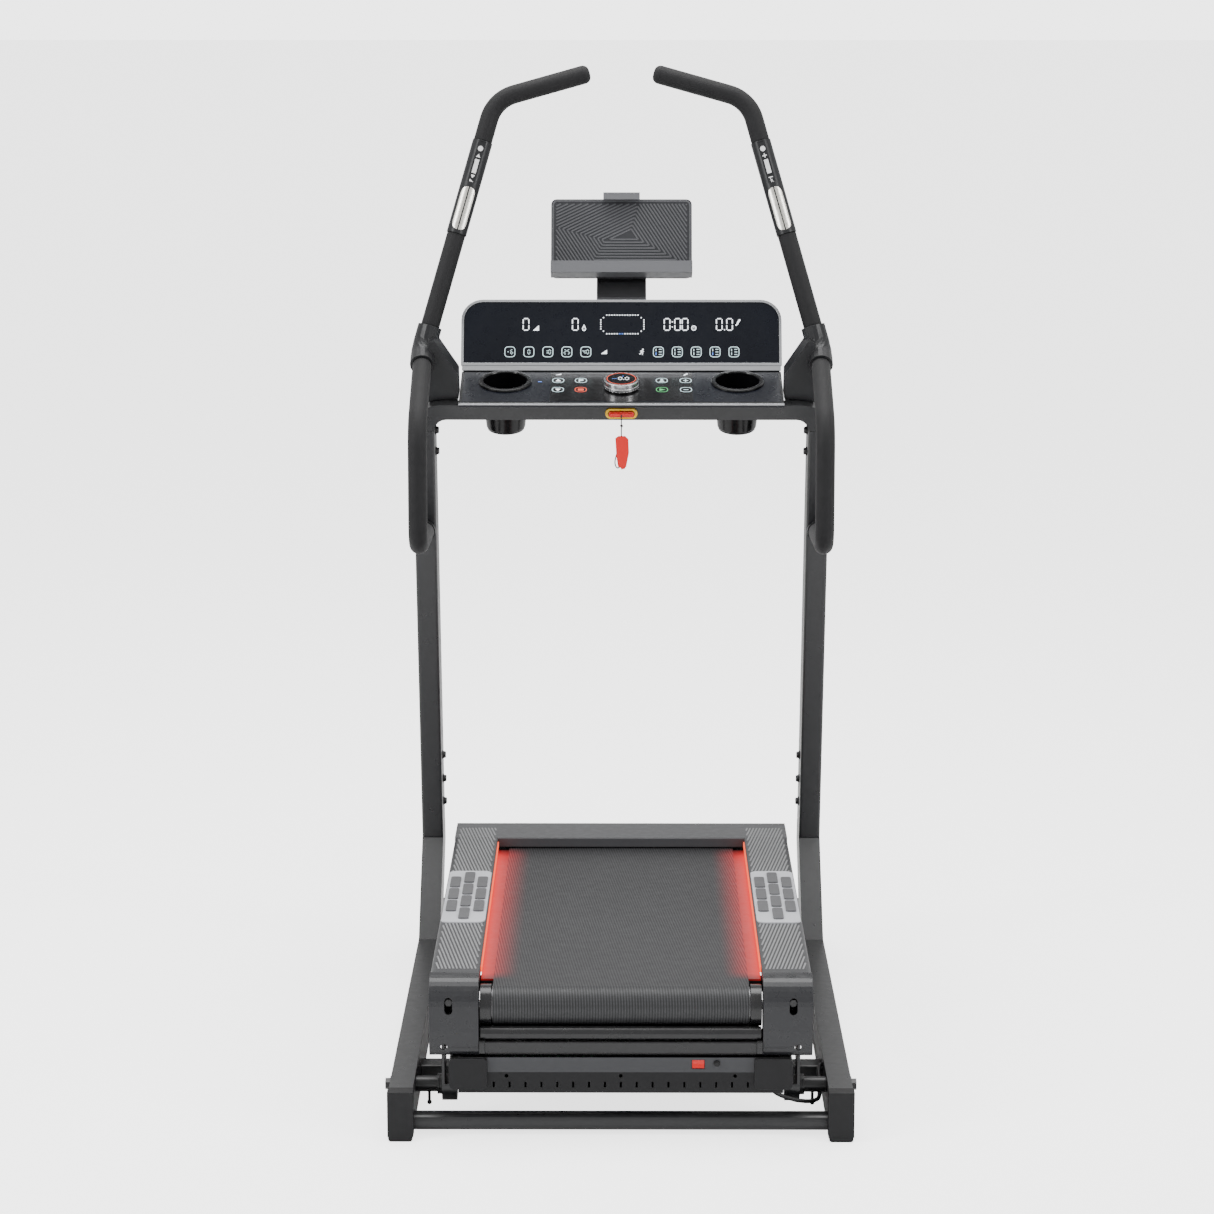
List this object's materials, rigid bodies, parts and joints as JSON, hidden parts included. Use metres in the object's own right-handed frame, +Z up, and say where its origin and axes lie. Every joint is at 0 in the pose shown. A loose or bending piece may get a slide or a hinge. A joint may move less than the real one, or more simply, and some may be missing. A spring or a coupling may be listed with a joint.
{
  "type": "treadmill",
  "caption": "Incline treadmill with a rear-pivoted deck, leaning uprights, a console with cup holders and a tablet rest, and bent handlebars.",
  "frame": {"origin": "centre of the base at floor level", "axes": "+Z up, +Y forward, the way the user faces, +X to the user's right"},
  "size_m": [0.784, 1.15, 1.7072],
  "materials": {
    "frame": "satin powder coat",
    "cap": "fine texture",
    "zinc": "zinc plated",
    "black_fastener": "black oxide",
    "shell": "fine texture",
    "dark_glass": "gloss",
    "chrome_trim": "satin chrome",
    "gloss_black": "gloss",
    "dial_metal": "turned",
    "yellow": "gloss",
    "red": "gloss",
    "cord": "braided",
    "steel_tube": "satin",
    "foam": "matt foam",
    "pod": "fine texture",
    "key_grey": "satin",
    "pulse_steel": "brushed",
    "neck_grey": "satin",
    "tablet": "ribbed",
    "wheel": "matt",
    "cast": "cast",
    "rod_steel": "ground",
    "cable": "satin",
    "board": "black phenolic laminate",
    "cushion": "matt",
    "belt": "lined PVC",
    "cover": "ribbed",
    "silver_plate": "satin",
    "pad": "matt",
    "cap_cover": "satin",
    "light": "lit diffuser",
    "guard": "satin",
    "housing": "fine texture",
    "motor": "satin",
    "circuit": "solder mask"
  },
  "bodies": {
    "base": {"base_rails": "frame", "end_caps": "cap", "base_cross_tubes": "frame", "pivot_bolts": "zinc", "upright_left": "frame", "upright_right": "frame", "frame_bolts": "black_fastener", "console_beam": "frame", "console_tray": "shell", "console_back": "shell", "touch_panels": "dark_glass", "display_bezel": "chrome_trim", "cup_holders": "gloss_black", "dial_base": "gloss_black", "key_socket": "yellow", "handlebar_left": "steel_tube", "handlebar_right": "steel_tube", "grip_sleeves": "foam", "handlebar_clamps": "pod", "control_pods": "pod", "pulse_plates": "pulse_steel", "tablet_neck": "neck_grey", "tablet_plate": "tablet", "console_cable": "cable"},
    "deck": {"deck_side_members": "frame", "deck_cross_members": "frame", "deck_board": "board", "deck_cushions": "cushion", "running_belt": "belt", "side_cover_left": "cover", "side_cover_right": "cover", "footpad_plates": "silver_plate", "footpad_grips": "pad", "front_cover": "cap_cover", "rear_covers": "cap_cover", "light_strips": "light", "rear_guard": "guard", "motor_housing": "housing", "drive_motor": "motor", "drive_belt": "wheel", "motor_controller": "circuit", "power_inlet": "gloss_black"},
    "rear_roller": {"rear_roller": "zinc"},
    "front_roller": {"front_roller": "zinc"},
    "motor_rotor": {"motor_pulley": "zinc"},
    "dial": {"dial_ring": "dial_metal"},
    "start_left": {"start_key_left": "key_grey"},
    "start_right": {"start_key_right": "key_grey"},
    "incline_rocker": {"incline_toggle": "key_grey"},
    "speed_rocker": {"speed_toggle": "key_grey"},
    "safety_key": {"safety_key": "red", "key_lanyard": "cord", "key_clip": "red"},
    "tablet_clamp": {"tablet_clamp": "tablet"},
    "wheel_left": {"transport_wheel_left": "wheel"},
    "wheel_right": {"transport_wheel_right": "wheel"},
    "lift_motor": {"lift_motor": "cast"},
    "lift_rod": {"lift_rod": "rod_steel"},
    "power_switch": {"power_switch": "red"},
    "breaker_button": {"breaker_button": "gloss_black"}
  },
  "joints": [
    {"name": "deck_incline", "type": "hinge", "parent": "base", "child": "deck", "pos_m": [0, -0.465, 0.062], "axis": [1, 0, 0], "range_deg": [-3.43, 21.8], "deforming": ["console_cable"]},
    {"name": "rear_roller_spin", "type": "hinge", "parent": "deck", "child": "rear_roller", "pos_m": [0, -0.526, 0.219], "axis": [1, 0, 0], "continuous": true},
    {"name": "front_roller_spin", "type": "hinge", "parent": "deck", "child": "front_roller", "pos_m": [0, 0.374, 0.219], "axis": [1, 0, 0], "continuous": true},
    {"name": "motor_spin", "type": "hinge", "parent": "deck", "child": "motor_rotor", "pos_m": [0, -0.389, 0.125], "axis": [1, 0, 0], "continuous": true},
    {"name": "dial_turn", "type": "hinge", "parent": "base", "child": "dial", "pos_m": [0, 0.30952, 1.12632], "axis": [0, -0.2656, 0.9641], "continuous": true},
    {"name": "start_left_press", "type": "slide", "parent": "base", "child": "start_left", "axis": [-0.0638, 0.9732, -0.2211], "range_m": [0, 0.0011], "stiffness_N_per_m": 900, "springref_m": -0.0006},
    {"name": "start_right_press", "type": "slide", "parent": "base", "child": "start_right", "axis": [0.0638, 0.9732, -0.2211], "range_m": [0, 0.0011], "stiffness_N_per_m": 900, "springref_m": -0.0006},
    {"name": "incline_rocker_tilt", "type": "hinge", "parent": "base", "child": "incline_rocker", "pos_m": [-0.266, 0.35957, 1.5262], "axis": [0.9608, 0, -0.2773], "range_deg": [-4, 4], "stiffness_Nm_per_rad": 0.4},
    {"name": "speed_rocker_tilt", "type": "hinge", "parent": "base", "child": "speed_rocker", "pos_m": [0.266, 0.35957, 1.5262], "axis": [-0.9608, 0, -0.2773], "range_deg": [-4, 4], "stiffness_Nm_per_rad": 0.4},
    {"name": "safety_key_pull", "type": "slide", "parent": "base", "child": "safety_key", "axis": [0, -0.9781, -0.2079], "range_m": [0, 0.03]},
    {"name": "tablet_clamp_slide", "type": "slide", "parent": "base", "child": "tablet_clamp", "axis": [0, 0.3322, 0.9432], "range_m": [0, 0.055], "stiffness_N_per_m": 60, "springref_m": -0.05},
    {"name": "wheel_left_spin", "type": "hinge", "parent": "base", "child": "wheel_left", "pos_m": [-0.328, 0.543, 0.029], "axis": [1, 0, 0], "continuous": true},
    {"name": "wheel_right_spin", "type": "hinge", "parent": "base", "child": "wheel_right", "pos_m": [0.328, 0.543, 0.029], "axis": [1, 0, 0], "continuous": true},
    {"name": "lift_motor_pivot", "type": "hinge", "parent": "base", "child": "lift_motor", "pos_m": [0, -0.255, 0.044], "axis": [1, 0, 0], "range_deg": [-5.3, 33.2]},
    {"name": "lift_rod_slide", "type": "slide", "parent": "lift_motor", "child": "lift_rod", "axis": [0, 0.8556, 0.5176], "range_m": [-0.0098, 0.0606]},
    {"name": "power_switch_tilt", "type": "hinge", "parent": "deck", "child": "power_switch", "pos_m": [0.1265, -0.555, 0.128], "axis": [1, 0, 0], "range_deg": [0, 16]},
    {"name": "breaker_press", "type": "slide", "parent": "deck", "child": "breaker_button", "axis": [0, 1, 0], "range_m": [0, 0.0025], "stiffness_N_per_m": 1500, "springref_m": -0.001}
  ],
  "couplings": [
    {"joint": "front_roller_spin", "follows": "rear_roller_spin", "ratio": 1},
    {"joint": "motor_spin", "follows": "rear_roller_spin", "ratio": 1.875},
    {"joint": "lift_motor_pivot", "follows": "deck_incline", "ratio": 1.511},
    {"joint": "lift_rod_slide", "follows": "deck_incline", "m_per_rad": 0.158}
  ]
}
